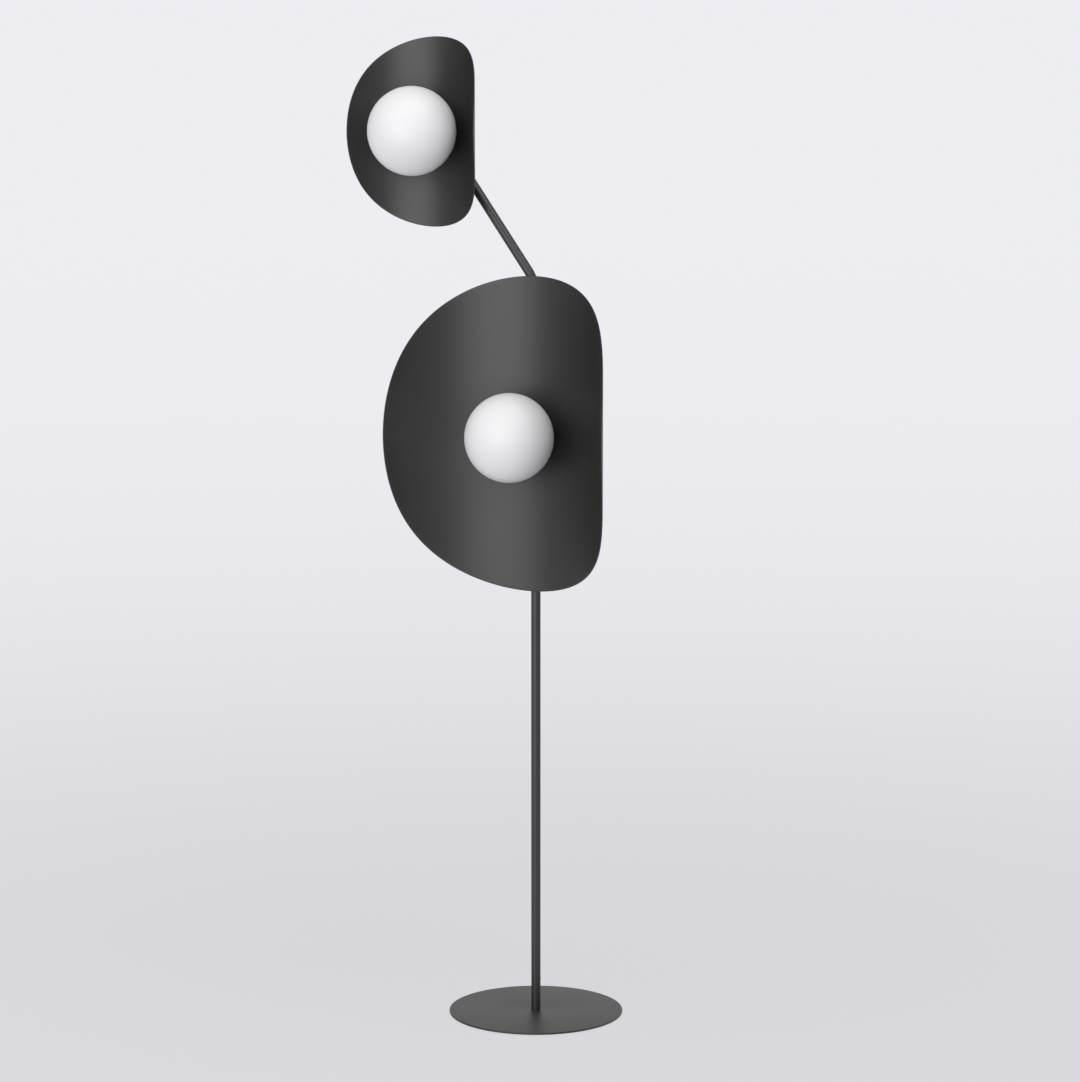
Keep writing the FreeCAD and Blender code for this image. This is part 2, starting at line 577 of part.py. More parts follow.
def bulb_dome():
    """Ball-shaped diffuser on the skirt."""
    radius = BULB_DIAMETER / 2
    centre = CONTACT_FACE + BULB_LENGTH - radius
    rim = centre - math.sqrt(radius ** 2 - BULB_SKIRT_RADIUS ** 2)
    outside = Part.Arc(at(rim, BULB_SKIRT_RADIUS), at(centre, radius), at(centre + radius, 0)).toShape()
    axis = Part.LineSegment(at(centre + radius, 0), at(rim, 0)).toShape()
    foot = Part.LineSegment(at(rim, 0), at(rim, BULB_SKIRT_RADIUS)).toShape()
    return turned([outside, axis, foot])


def head(name, diameter, roll_radius, lean, place):
    """All pieces of one head, moved to its place on the tube."""
    pieces = {
        "boss": boss(lean),
        "nipple": nipple(),
        "rear_washer": rear_washer(),
        "rear_saddle": rear_saddle(roll_radius),
        "shade": rolled_shade(diameter, roll_radius),
        "front_saddle": front_saddle(roll_radius),
        "wave_washer": wave_washer(),
        "jam_nut": jam_nut(),
        "globe_seat": globe_seat(),
        "globe_gasket": globe_gasket(),
        "globe_collar": globe_collar(),
        "globe": globe(),
        "holder_body": holder_body(),
        "holder_shell": holder_shell(),
        "holder_contact": holder_contact(),
        "bulb_cap": bulb_cap(),
        "bulb_body": bulb_body(),
        "bulb_dome": bulb_dome(),
    }
    return {name + "_" + piece: moved(shape, place) for piece, shape in pieces.items()}


# ---------------------------------------------------------------- the whole lamp
def lamp():
    """Every piece of the lamp by its name."""
    pieces = {
        "base_pad": base_pad(),
        "base_plate": base_plate(),
        "base_spigot": base_spigot(),
        "foot_screw": foot_screw(),
        "lower_pole": lower_pole(),
        "inlet_grommet": inlet_grommet(),
        "supply_lead": supply_lead(),
        "lead_connector": lead_connector(),
        "lower_head_lead": lower_head_lead(),
        "riser_lead": riser_lead(),
        "swivel_insert": swivel_insert(),
        "insert_screw": insert_screw(),
        "swivel_washer": swivel_washer(),
        "arm_tube": arm_tube(),
        "arm_end_plug": arm_end_plug(),
        "arm_stop_screw": arm_stop_screw(),
        "arm_lead": arm_lead(),
    }
    pieces.update(head("lower", LOWER_SHADE_DIAMETER, LOWER_ROLL_RADIUS, 0, LOWER_HEAD))
    pieces.update(head("upper", UPPER_SHADE_DIAMETER, UPPER_ROLL_RADIUS, ARM_LEAN, UPPER_HEAD))
    return pieces


os.makedirs("parts", exist_ok=True)
for node, shape in lamp().items():
    print(f"{node:20s} {shape.ShapeType:9s} solids {len(shape.Solids)}  volume {shape.Volume:12.1f}"
          f"  valid {shape.isValid()}")
    shape.exportStep(f"parts/{node}.step")
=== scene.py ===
"""Free-standing floor lamp with two heads: rolled round shades and opal globes on one slim pole.

Metres, in the part's own frame: the floor is z = 0 under the pole's axis, the globes face -Y and
the arm leans towards -X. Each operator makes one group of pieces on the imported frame's bodies.
"""
import json
import math

import bpy
from bpy.props import FloatProperty, FloatVectorProperty, PointerProperty
from mathutils import Matrix, Vector

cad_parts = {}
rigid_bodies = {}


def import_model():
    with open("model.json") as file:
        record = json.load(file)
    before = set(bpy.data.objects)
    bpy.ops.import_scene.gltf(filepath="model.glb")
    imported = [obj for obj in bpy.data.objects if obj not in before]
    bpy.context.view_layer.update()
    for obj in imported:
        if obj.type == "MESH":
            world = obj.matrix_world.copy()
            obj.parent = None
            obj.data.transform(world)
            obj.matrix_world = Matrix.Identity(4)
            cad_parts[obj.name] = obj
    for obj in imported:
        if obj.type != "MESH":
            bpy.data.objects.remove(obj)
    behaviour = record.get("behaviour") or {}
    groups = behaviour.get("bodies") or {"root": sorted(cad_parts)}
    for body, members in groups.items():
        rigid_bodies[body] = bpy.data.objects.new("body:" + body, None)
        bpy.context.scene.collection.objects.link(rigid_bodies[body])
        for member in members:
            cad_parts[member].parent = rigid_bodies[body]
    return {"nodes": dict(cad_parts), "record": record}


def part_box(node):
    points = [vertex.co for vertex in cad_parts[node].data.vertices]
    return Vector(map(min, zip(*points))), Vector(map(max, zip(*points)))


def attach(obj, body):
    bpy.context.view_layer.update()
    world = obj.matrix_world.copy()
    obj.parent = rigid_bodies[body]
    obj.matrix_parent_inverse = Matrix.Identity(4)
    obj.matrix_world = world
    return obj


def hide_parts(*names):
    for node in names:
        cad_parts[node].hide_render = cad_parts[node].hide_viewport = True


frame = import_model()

bl_info = {
    "name": "Two-head floor lamp",
    "version": (1, 0, 0),
    "blender": (4, 5, 0),
    "location": "3D View > Sidebar > Lamp",
    "description": "Dresses the packed frame of a floor lamp with rolled shades and opal globes",
    "category": "Object",
}

for spare in ("Cube", "Light", "Camera"):
    if spare in bpy.data.objects:
        bpy.data.objects.remove(bpy.data.objects[spare])
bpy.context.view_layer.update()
MM = 0.001
HEADS = (("lower", "stand"), ("upper", "arm"))      # each head and the body that carries it

# Steps of the finer meshes
SIDES = 96                      # round a small turned piece
SCREW_SIDES = 48
DRILL_SIDES = 32
PLATE_SIDES = 256
GLOBE_SIDES = 128
GLOBE_STEPS = 72                # along a globe's half circle
TUBE_SIDES = 72
TUBE_RING_SPACING = 0.006
BEND_STEPS = 32
SHADE_SPOKES = 240
SHADE_RINGS = 56
RIM_STEPS = 3                   # across a shade's broken edge

# Degrees over which an edge stays sharp
SHARP = 40
SHARP_HEXAGON = 25              # on pieces with hexagon faces
SHARP_DRILLING = 30             # on the drilled tubes
SHARP_RIM = 50                  # where a shade's edge is broken

# Small sizes that have no setting of their own
RIM_SHARE = 0.3                 # a shade's broken edge, as a share of its sheet
NIPPLE_GAP = 0.05 * MM          # round the nipple
SCREW_GAP = 0.08 * MM           # round a set screw in a tube's wall
INLET_RADIUS = 4.05 * MM        # hole for the grommet's neck
TENON_STEP = 1.8 * MM           # from the spigot's side in to the plate's hole
PLATE_EDGE = 0.55 * MM
MOUTH_EDGE = 0.6 * MM           # rounding of the globe's ground mouth
MOUTH_RIM = 1 * MM              # how far along the glass that rounding may reach
SEAT_INSIDE_MOUTH = 2.9 * MM    # from the globe's mouth in to the seat's spigot
SEAT_THICKNESS = 2.2 * MM
SEAT_WALL = 2.4 * MM
SEAT_EDGE = 0.35 * MM
GASKET_WIDTH = 3.6 * MM
GASKET_EDGE = 0.22 * MM
COLLAR_GAP = 0.1 * MM           # round the seat's spigot
COLLAR_HUB = 2.7 * MM           # from the spigot out to the hub's side
COLLAR_THICKNESS = 1.2 * MM
COLLAR_EDGE = 0.3 * MM
WASHER_EDGE = 0.12 * MM
NUT_CROWN = 6.75 * MM           # radius of the nut's round face
NUT_SLOPE = 0.5 * MM            # length of its corners' chamfer
NUT_BREAK = 0.3 * MM            # chamfer of its bore
SOCKET_HALF_WIDTH = 0.866 * MM  # of a set screw's hexagon socket
SOCKET_DEPTH = 1.4 * MM
SOCKET_CONE = 0.3 * MM          # drill point below the socket
SOCKET_BREAK = 0.15 * MM
SCREW_BREAK = 0.3 * MM          # chamfer of a screw's outer end
SCREW_TIP = 0.5 * MM            # chamfer of its tip

# Stage
FLOOR_RADIUS = 60.0
FLOOR_THICKNESS = 0.01
BACKDROP_START = 0.1            # a direction's share of +Y where the bright backdrop starts
BACKDROP_FULL = 0.7
LAMP_TARGET = Vector((0, 0, 1.0))
CAMERA_PLACE = (2.2168, -4.0715, 1.3163)
CAMERA_DOWN = 6.742             # degrees below level
CAMERA_TURN = 28.485            # degrees round from -Y towards +X
CAMERA_LENS = 97.51             # millimetres
CAMERA_SENSOR = 36.0            # millimetres
CAMERA_REACH = 200.0

# Fractal noise seldom leaves this range
NOISE_LOW, NOISE_HIGH = 0.3, 0.7

# A Mix node's sockets for numbers and for colours
MIX_FIRST, MIX_SECOND = 2, 3
MIX_FIRST_COLOUR, MIX_SECOND_COLOUR, MIX_RESULT_COLOUR = 6, 7, 2


def centre(cad):
    """The middle of a CAD node's box."""
    low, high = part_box(cad)
    return (low + high) / 2


def extent(cad, axis):
    """A CAD node's size along an axis, 0 to 2."""
    low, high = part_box(cad)
    return high[axis] - low[axis]


def head_point(head):
    """Where a head's axis crosses its tube's axis."""
    middle = centre(head + "_globe_seat")
    return Vector((middle.x, 0, middle.z))


# ---------------------------------------------------------------- settings
class LampSizes(bpy.types.PropertyGroup):
    """Real sizes of the pieces that the operators make."""

    tube_diameter: FloatProperty(
        name="Tube Diameter", description="Outside diameter of the pole and the arm",
        default=0.015, min=0.004, unit="LENGTH")
    tube_wall: FloatProperty(
        name="Tube Wall", description="Wall of the pole and the arm",
        default=0.0015, min=0.0005, unit="LENGTH")
    bend_height: FloatProperty(
        name="Bend Height", description="Where the arm's two straight centrelines would meet",
        default=1.1787, min=0.0, unit="LENGTH")
    bend_radius: FloatProperty(
        name="Bend Radius", description="Radius of the arm's bend on its centreline",
        default=0.070, min=0.01, unit="LENGTH")
    arm_overrun: FloatProperty(
        name="Arm Overrun", description="Tube beyond the upper head's axis",
        default=0.014, min=0.0, unit="LENGTH")
    lower_blank: FloatProperty(
        name="Lower Shade Blank", description="Diameter of the large shade's flat round blank",
        default=round(extent("lower_shade", 2), 4), min=0.05, unit="LENGTH")
    lower_roll: FloatProperty(
        name="Lower Roll Radius", description="Radius that the large blank's middle is rolled to",
        default=0.207, min=0.05, unit="LENGTH")
    upper_blank: FloatProperty(
        name="Upper Shade Blank", description="Diameter of the small shade's flat round blank",
        default=round(extent("upper_shade", 2), 4), min=0.05, unit="LENGTH")
    upper_roll: FloatProperty(
        name="Upper Roll Radius", description="Radius that the small blank's middle is rolled to",
        default=0.1235, min=0.03, unit="LENGTH")
    sheet: FloatProperty(
        name="Sheet Thickness", description="Thickness of the shades' sheet",
        default=0.0015, min=0.0005, unit="LENGTH")
    sheet_forward: FloatProperty(
        name="Sheet Forward", description="From the tube's axis to the middle of the sheet",
        default=0.01425, min=0.0, unit="LENGTH")
    shade_hole: FloatProperty(
        name="Shade Hole Diameter", description="Hole in the shade that the nipple goes through",
        default=0.0106, min=0.001, unit="LENGTH")
    globe_diameter: FloatProperty(
        name="Globe Diameter", description="Outside diameter of the opal ball",
        default=round(extent("lower_globe", 2), 4), min=0.02, unit="LENGTH")
    globe_wall: FloatProperty(
        name="Globe Wall", description="Thickness of the glass",
        default=0.0025, min=0.0005, unit="LENGTH")
    globe_mouth: FloatProperty(
        name="Globe Mouth Diameter", description="Opening of the ball at the rear",
        default=0.051, min=0.01, unit="LENGTH")
    plate_diameter: FloatProperty(
        name="Plate Diameter", description="Diameter of the foot's plate",
        default=0.280, min=0.05, unit="LENGTH")


class LampFinishes(bpy.types.PropertyGroup):
    """Colours and gloss of the finishes."""

    coat: FloatVectorProperty(
        name="Powder Coat", description="Colour of the charcoal powder coat",
        subtype="COLOR", size=3, default=(0.010, 0.010, 0.0105), min=0, max=1)
    coat_roughness: FloatProperty(
        name="Coat Roughness", description="Roughness of the powder coat",
        subtype="FACTOR", default=0.45, min=0, max=1)
    opal: FloatVectorProperty(
        name="Opal Glass", description="Colour of the opal glass",
        subtype="COLOR", size=3, default=(0.765, 0.765, 0.778), min=0, max=1)
    opal_roughness: FloatProperty(
        name="Opal Roughness", description="Roughness of the satin glass",
        subtype="FACTOR", default=0.42, min=0, max=1)


class LampStage(bpy.types.PropertyGroup):
    """Camera, lamps and floor."""

    near_floor: FloatVectorProperty(
        name="Near Floor", description="Colour of the floor round the lamp",
        subtype="COLOR", size=3, default=(0.72, 0.72, 0.75), min=0, max=1)
    far_floor: FloatVectorProperty(
        name="Far Floor", description="Colour that the floor and the backdrop fade to",
        subtype="COLOR", size=3, default=(0.85, 0.85, 0.885), min=0, max=1)
    fade_distance: FloatProperty(
        name="Fade Distance", description="Where the floor is halfway to the backdrop's colour",
        default=4.0, min=0.1, unit="LENGTH")
    floor_shade: FloatProperty(
        name="Floor Shade", description="How much of the floor near the lamp takes its shadows",
        subtype="FACTOR", default=0.25, min=0, max=1)
    room_colour: FloatVectorProperty(
        name="Room Colour", description="Colour of the room's light",
        subtype="COLOR", size=3, default=(0.87, 0.86, 0.85), min=0, max=1)
    world_light: FloatProperty(
        name="World Light", description="Brightness of the room round the lamp",
        default=0.60, min=0)
    room_gloss: FloatProperty(
        name="Room Gloss", description="Brightness of the room in glossy surfaces",
        default=0.25, min=0)
    backdrop_gloss: FloatProperty(
        name="Backdrop Gloss", description="Brightness of the backdrop in glossy surfaces",
        default=0.85, min=0)
    key_power: FloatProperty(
        name="Key Power", description="Power of the large soft lamp in front",
        default=68.0, min=0, unit="POWER")
    fill_power: FloatProperty(
        name="Fill Power", description="Power that the soft lamps above take their shares of",
        default=8.0, min=0, unit="POWER")


# ---------------------------------------------------------------- node trees
def node(tree, kind, inputs=None, **settings):
    """A node with its settings, and its inputs linked or set."""
    made = tree.nodes.new(kind)
    for key, value in settings.items():
        setattr(made, key, value)
    for key, value in (inputs or {}).items():
        if isinstance(value, bpy.types.NodeSocket):
            tree.links.new(value, made.inputs[key])
        else:
            made.inputs[key].default_value = value
    return made


def maths(tree, operation, *values):
    """The result of a Math node; shader and geometry trees name it alike."""
    return node(tree, "ShaderNodeMath", dict(enumerate(values)), operation=operation).outputs[0]


def mixed_colour(tree, factor, first, second):
    """A colour between two, by a factor from 0 to 1."""
    mix = node(tree, "ShaderNodeMix", {
        "Factor": factor, MIX_FIRST_COLOUR: (*first, 1), MIX_SECOND_COLOUR: (*second, 1)},
        data_type="RGBA")
    return mix.outputs[MIX_RESULT_COLOUR]


def mixed_number(tree, factor, first, second):
    """A number between two, by a factor from 0 to 1."""
    return node(tree, "ShaderNodeMix", {
        "Factor": factor, MIX_FIRST: first, MIX_SECOND: second}).outputs[0]


def new_tree(name, sizes):
    """An empty geometry tree, and the outputs of its group input, with its sizes by name."""
    tree = bpy.data.node_groups.new(name, "GeometryNodeTree")
    tree.interface.new_socket("Geometry", in_out="INPUT", socket_type="NodeSocketGeometry")
    for title, kind in sizes.items():
        tree.interface.new_socket(title, in_out="INPUT", socket_type="NodeSocket" + kind)
    tree.interface.new_socket("Geometry", in_out="OUTPUT", socket_type="NodeSocketGeometry")
    return tree, tree.nodes.new("NodeGroupInput").outputs


def end_tree(tree, geometry, finish):
    """Ends a tree in smooth faces, real instances and a material."""
    smooth = node(tree, "GeometryNodeSetShadeSmooth", {"Geometry": geometry})
    real = node(tree, "GeometryNodeRealizeInstances", {"Geometry": smooth.outputs[0]})
    painted = node(tree, "GeometryNodeSetMaterial", {
        "Geometry": real.outputs[0], "Material": finish})
    node(tree, "NodeGroupOutput", {"Geometry": painted.outputs[0]})


def rolled_blank_tree():
    """A flat round blank with a hole, rolled about an upright axis in front of it."""
    tree, size = new_tree("Rolled blank", {
        "Blank Diameter": "Float", "Hole Diameter": "Float", "Roll Radius": "Float",
        "Forward": "Float", "Spokes": "Int", "Rings": "Int", "Finish": "Material"})
    across = maths(tree, "ADD", size["Spokes"], 1.0)
    along = maths(tree, "ADD", size["Rings"], 1.0)
    grid = node(tree, "GeometryNodeMeshGrid", {
        "Size X": 1.0, "Size Y": 1.0, "Vertices X": across, "Vertices Y": along})
    position = node(tree, "GeometryNodeInputPosition").outputs[0]
    place = node(tree, "ShaderNodeSeparateXYZ", {0: position})
    turn = maths(tree, "MULTIPLY", maths(tree, "ADD", place.outputs["X"], 0.5), 2 * math.pi)
    share = maths(tree, "ADD", place.outputs["Y"], 0.5)
    hole = maths(tree, "DIVIDE", size["Hole Diameter"], 2.0)
    reach = maths(tree, "SUBTRACT", maths(tree, "DIVIDE", size["Blank Diameter"], 2.0), hole)
    radius = maths(tree, "ADD", hole, maths(tree, "MULTIPLY", share, reach))
    flat_x = maths(tree, "MULTIPLY", radius, maths(tree, "COSINE", turn))
    flat_z = maths(tree, "MULTIPLY", radius, maths(tree, "SINE", turn))
    angle = maths(tree, "DIVIDE", flat_x, size["Roll Radius"])
    rolled_x = maths(tree, "MULTIPLY", size["Roll Radius"], maths(tree, "SINE", angle))
    depth = maths(tree, "SUBTRACT", 1.0, maths(tree, "COSINE", angle))
    forward = maths(tree, "MULTIPLY_ADD", depth, size["Roll Radius"], size["Forward"])
    rolled_y = maths(tree, "MULTIPLY", forward, -1.0)
    point = node(tree, "ShaderNodeCombineXYZ", {"X": rolled_x, "Y": rolled_y, "Z": flat_z})
    rolled = node(tree, "GeometryNodeSetPosition", {
        "Geometry": grid.outputs["Mesh"], "Position": point.outputs[0]})
    closed = node(tree, "GeometryNodeMergeByDistance", {
        "Geometry": rolled.outputs[0], "Distance": 0.001 * MM})
    end_tree(tree, closed.outputs[0], size["Finish"])
    return tree


def bent_tube_tree():
    """A round skin along a path of straight runs, with each corner bent to one radius."""
    tree, size = new_tree("Bent tube", {
        "Outside Diameter": "Float", "Bend Radius": "Float", "Ring Spacing": "Float",
        "Sides": "Int", "Finish": "Material"})
    path = node(tree, "GeometryNodeMeshToCurve", {"Mesh": size["Geometry"]})
    bent = node(tree, "GeometryNodeFilletCurve", {
        "Curve": path.outputs[0], "Radius": size["Bend Radius"], "Count": BEND_STEPS,
        "Limit Radius": True}, mode="POLY")
    even = node(tree, "GeometryNodeResampleCurve", {
        "Curve": bent.outputs[0], "Length": size["Ring Spacing"]}, mode="LENGTH")
    section = node(tree, "GeometryNodeCurvePrimitiveCircle", {
        "Resolution": size["Sides"],
        "Radius": maths(tree, "DIVIDE", size["Outside Diameter"], 2.0)})
    skin = node(tree, "GeometryNodeCurveToMesh", {
        "Curve": even.outputs[0], "Profile Curve": section.outputs["Curve"]})
    end_tree(tree, skin.outputs[0], size["Finish"])
    return tree


def shaped_by(obj, tree, sizes):
    """Puts a geometry tree on an object, with its inputs set by their identifiers."""
    modifier = obj.modifiers.new(tree.name, "NODES")
    modifier.node_group = tree
    for item in tree.interface.items_tree:
        if item.in_out == "INPUT" and item.name in sizes:
            modifier[item.identifier] = sizes[item.name]


# ---------------------------------------------------------------- meshes
def add_mesh(name, points, faces, edges=()):
    """A new object from points and faces, at the origin."""
    mesh = bpy.data.meshes.new(name)
    mesh.from_pydata([tuple(p) for p in points], edges, faces)
    mesh.update()
    obj = bpy.data.objects.new(name, mesh)
    bpy.context.scene.collection.objects.link(obj)
    return obj


def made_plain(obj):
    """Turns an object with modifiers into a plain mesh at the origin, under the same name."""
    name = obj.name
    bpy.context.view_layer.update()
    evaluated = obj.evaluated_get(bpy.context.evaluated_depsgraph_get())
    mesh = bpy.data.meshes.new_from_object(evaluated)
    bpy.data.objects.remove(obj)
    plain = bpy.data.objects.new(name, mesh)
    mesh.name = name
    bpy.context.scene.collection.objects.link(plain)
    return plain


def edged(obj, angle):
    """Smooth faces, with the edges over an angle in degrees kept sharp."""
    obj.data.shade_smooth()
    obj.data.set_sharp_from_angle(angle=math.radians(angle))
    return obj


def finished(obj, body, slot, *nodes):
    """Gives a piece its slot's material and its body, and hides the CAD nodes it stands for."""
    obj.data.materials.clear()
    obj.data.materials.append(bpy.data.materials[slot])
    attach(obj, body)
    if nodes:
        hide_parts(*nodes)


def rounded(corners, radius, steps=3):
    """A closed outline of (forward, radius) corners with each corner rounded."""
    outline = []
    most = 0.45                 # of an edge's length, so that two corners never meet
    points = [Vector(c) for c in corners]
    for i, corner in enumerate(points):
        before = points[i - 1] - corner
        after = points[(i + 1) % len(points)] - corner
        reach = min(radius, before.length * most, after.length * most)
        start = corner + before.normalized() * reach
        end = corner + after.normalized() * reach
        for k in range(steps + 1):
            t = k / steps
            outline.append(start * (1 - t) ** 2 + corner * 2 * t * (1 - t) + end * t * t)
    return outline


def hexagon(turn):
    """How far a hexagon's edge is out at an angle from a corner, as a share of half its width."""
    sixth = math.pi / 3
    return 1 / math.cos(turn % sixth - sixth / 2)


def turned(name, outline, place, forward=(0, -1, 0), sides=SIDES, hexagons=(), sharp=SHARP):
    """A closed outline of (forward, radius) points turned about an axis square to X.

    The outline's points that are listed in hexagons make six-sided rows of that half width.
    Edges over the angle sharp, in degrees, stay sharp.
    """
    six_sided = {tuple(Vector(point)) for point in hexagons}
    axis = Vector(forward).normalized()
    side = Vector((1, 0, 0))
    other = axis.cross(side)
    area = sum(a[0] * b[1] - b[0] * a[1] for a, b in zip(outline, outline[1:] + outline[:1]))
    outline = outline if area < 0 else outline[::-1]        # so that the faces look outwards
    points, rows = [], []
    for ahead, radius in outline:
        if radius < 1e-9:
            rows.append([len(points)] * sides)
            points.append(place + axis * ahead)
            continue
        rows.append(list(range(len(points), len(points) + sides)))
        for i in range(sides):
            turn = 2 * math.pi * i / sides
            reach = radius * (hexagon(turn) if (ahead, radius) in six_sided else 1)
            out = side * math.cos(turn) + other * math.sin(turn)
            points.append(place + axis * ahead + out * reach)
    faces = []
    for row, following in zip(rows, rows[1:] + rows[:1]):
        if row[0] == row[1] and following[0] == following[1]:
            continue
        for i in range(sides):
            j = (i + 1) % sides
            ring = [row[i], row[j], following[j], following[i]]
            faces.append(list(dict.fromkeys(ring)))
    return edged(add_mesh(name, points, faces), sharp)


def drilled(obj, holes):
    """Cuts round holes, each (radius, start, end), through an object."""
    for i, (radius, start, end) in enumerate(holes):
        length = (end - start).length
        outline = [Vector(p) for p in ((0, 0), (0, radius), (length, radius), (length, 0))]
        cutter = turned(f"cutter_{i}", outline, start, end - start, DRILL_SIDES)
        cut = obj.modifiers.new(cutter.name, "BOOLEAN")
        cut.operation = "DIFFERENCE"
        cut.solver = "EXACT"
        cut.object = cutter
    plain = made_plain(obj)
    for i in range(len(holes)):
        bpy.data.objects.remove(bpy.data.objects[f"cutter_{i}"])
    return plain


# ---------------------------------------------------------------- finishes
def new_material(name):
    """A material with an empty tree, that tree, and the object coordinates in it."""
    material = bpy.data.materials.get(name)
    if material is None:
        material = bpy.data.materials.new(name)
    material.use_nodes = True
    tree = material.node_tree
    tree.nodes.clear()
    place = tree.nodes.new("ShaderNodeTexCoord").outputs["Object"]
    return material, tree, place


def noise(tree, place, scale, detail=2.0, stretch=None):
    """Fractal noise from 0 to 1, with scale in features a metre and stretch by axis."""
    if stretch:
        place = node(tree, "ShaderNodeMapping", {"Vector": place, "Scale": stretch}).outputs[0]
    return node(tree, "ShaderNodeTexNoise", {
        "Vector": place, "Scale": scale, "Detail": detail, "Roughness": 0.55}).outputs["Fac"]


def spread(tree, value, low, high):
    """A noise value stretched over its usual range to low and high."""
    return node(tree, "ShaderNodeMapRange", {
        "Value": value, "From Min": NOISE_LOW, "From Max": NOISE_HIGH,
        "To Min": low, "To Max": high}).outputs[0]


def tinted(tree, value, colour, change):
    """A colour that varies by a share of itself with a noise value."""
    dark = [c * (1 - change) for c in colour]
    light = [min(1, c * (1 + change)) for c in colour]
    return mixed_colour(tree, spread(tree, value, 0, 1), dark, light)


def surface(tree, colour, roughness, relief, strength, depth, **constants):
    """A Principled surface with relief; constants are set on its own sockets."""
    bump = node(tree, "ShaderNodeBump", {
        "Height": relief, "Strength": strength, "Distance": depth}).outputs[0]
    inputs = {"Base Color": colour, "Roughness": roughness, "Normal": bump}
    inputs.update({key.replace("_", " "): value for key, value in constants.items()})
    shader = node(tree, "ShaderNodeBsdfPrincipled", inputs)
    node(tree, "ShaderNodeOutputMaterial", {"Surface": shader.outputs[0]})


def powder_coat(colour, roughness):
    """Charcoal powder coat: fine pebbled skin, cloudy gloss and a faint drift in tone."""
    _, tree, place = new_material("powder_coat")
    cloud = noise(tree, place, scale=9.0, detail=3.0)
    pebble = noise(tree, place, scale=1300.0, detail=1.0)
    speck = noise(tree, place, scale=5200.0)
    height = maths(tree, "MULTIPLY_ADD", speck, 0.25, pebble)
    tone = maths(tree, "MULTIPLY_ADD", speck, 0.3, maths(tree, "MULTIPLY", cloud, 0.7))
    gloss = maths(tree, "ADD", spread(tree, cloud, -0.02, 0.02), spread(tree, pebble, -0.03, 0.03))
    surface(tree, tinted(tree, tone, colour, change=0.12), maths(tree, "ADD", gloss, roughness),
            height, strength=0.12, depth=0.06 * MM, Specular_IOR_Level=0.9)


def opal_glass(colour, roughness):
    """Satin opal glass: milky white, with a fine silky skin and a faint blown unevenness."""
    _, tree, place = new_material("opal_glass")
    cloud = noise(tree, place, scale=14.0)
    silk = noise(tree, place, scale=900.0, detail=1.0)
    surface(tree, tinted(tree, cloud, colour, change=0.012),
            maths(tree, "ADD", spread(tree, silk, -0.02, 0.02), roughness),
            maths(tree, "MULTIPLY_ADD", silk, 0.01, cloud), strength=0.08, depth=0.5 * MM,
            IOR=1.5)


def plain_finish(name, colour, change, grain, roughness, stretch=None, **constants):
    """A fine-grained finish: its grain, a size in metres, drives tone, gloss and relief."""
    _, tree, place = new_material(name)
    fine = noise(tree, place, 1 / grain, stretch=stretch)
    cloud = noise(tree, place, scale=60.0)
    tone = maths(tree, "MULTIPLY_ADD", fine, 0.6, maths(tree, "MULTIPLY", cloud, 0.4))
    gloss = maths(tree, "ADD", spread(tree, fine, -0.04, 0.04), roughness)
    surface(tree, tinted(tree, tone, colour, change), gloss,
            fine, strength=0.15, depth=0.05 * MM, **constants)


def felt():
    """Pressed felt: short fibres in every direction, with a soft sheen."""
    _, tree, place = new_material("felt")
    along_x, along_y = (0.25, 1, 1), (1, 0.25, 1)
    fibre = maths(tree, "MAXIMUM", noise(tree, place, 700.0, 3.0, along_y),
                  noise(tree, place, 700.0, 3.0, along_x))
    surface(tree, tinted(tree, fibre, (0.02, 0.02, 0.021), change=0.45),
            spread(tree, fibre, 0.85, 0.98), fibre, strength=0.6, depth=0.3 * MM,
            Sheen_Weight=0.4, Sheen_Roughness=0.5)


# ---------------------------------------------------------------- operators
class LAMP_OT_finishes(bpy.types.Operator):
    """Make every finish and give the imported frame's own nodes theirs"""

    bl_idname = "lamp.finishes"
    bl_label = "Finishes"

    def execute(self, context):
        look = context.scene.lamp_finishes
        powder_coat(look.coat, look.coat_roughness)
        opal_glass(look.opal, look.opal_roughness)
        felt()
        metal = {"Metallic": 1.0}
        plain_finish("plated_steel", (0.50, 0.50, 0.51), 0.10, 0.8 * MM, 0.32, (1, 8, 1), **metal)
        plain_finish("brass", (0.60, 0.42, 0.17), 0.10, 0.6 * MM, 0.28, (1, 1, 10), **metal)
        plain_finish("bulb_cap_metal", (0.62, 0.62, 0.63), 0.08, 0.5 * MM, 0.3, **metal)
        plain_finish("dark_screw", (0.018, 0.018, 0.019), 0.2, 0.4 * MM, 0.38)
        plain_finish("slip_plastic", (0.02, 0.02, 0.021), 0.15, 0.6 * MM, 0.45)
        plain_finish("plug_plastic", (0.028, 0.028, 0.029), 0.12, 0.5 * MM, 0.5)
        plain_finish("soft_rubber", (0.014, 0.014, 0.015), 0.2, 0.5 * MM, 0.62)
        plain_finish("holder_plastic", (0.025, 0.025, 0.026), 0.15, 0.7 * MM, 0.4)
        plain_finish("bulb_plastic", (0.82, 0.82, 0.80), 0.02, 0.9 * MM, 0.35)
        plain_finish("lead_sheath", (0.022, 0.022, 0.023), 0.15, 0.6 * MM, 0.5)
        for part in frame["record"]["subparts"]:
            mesh = frame["nodes"][part["node"]].data
            mesh.materials.clear()
            mesh.materials.append(bpy.data.materials[part["material_slot"]])
        return {"FINISHED"}


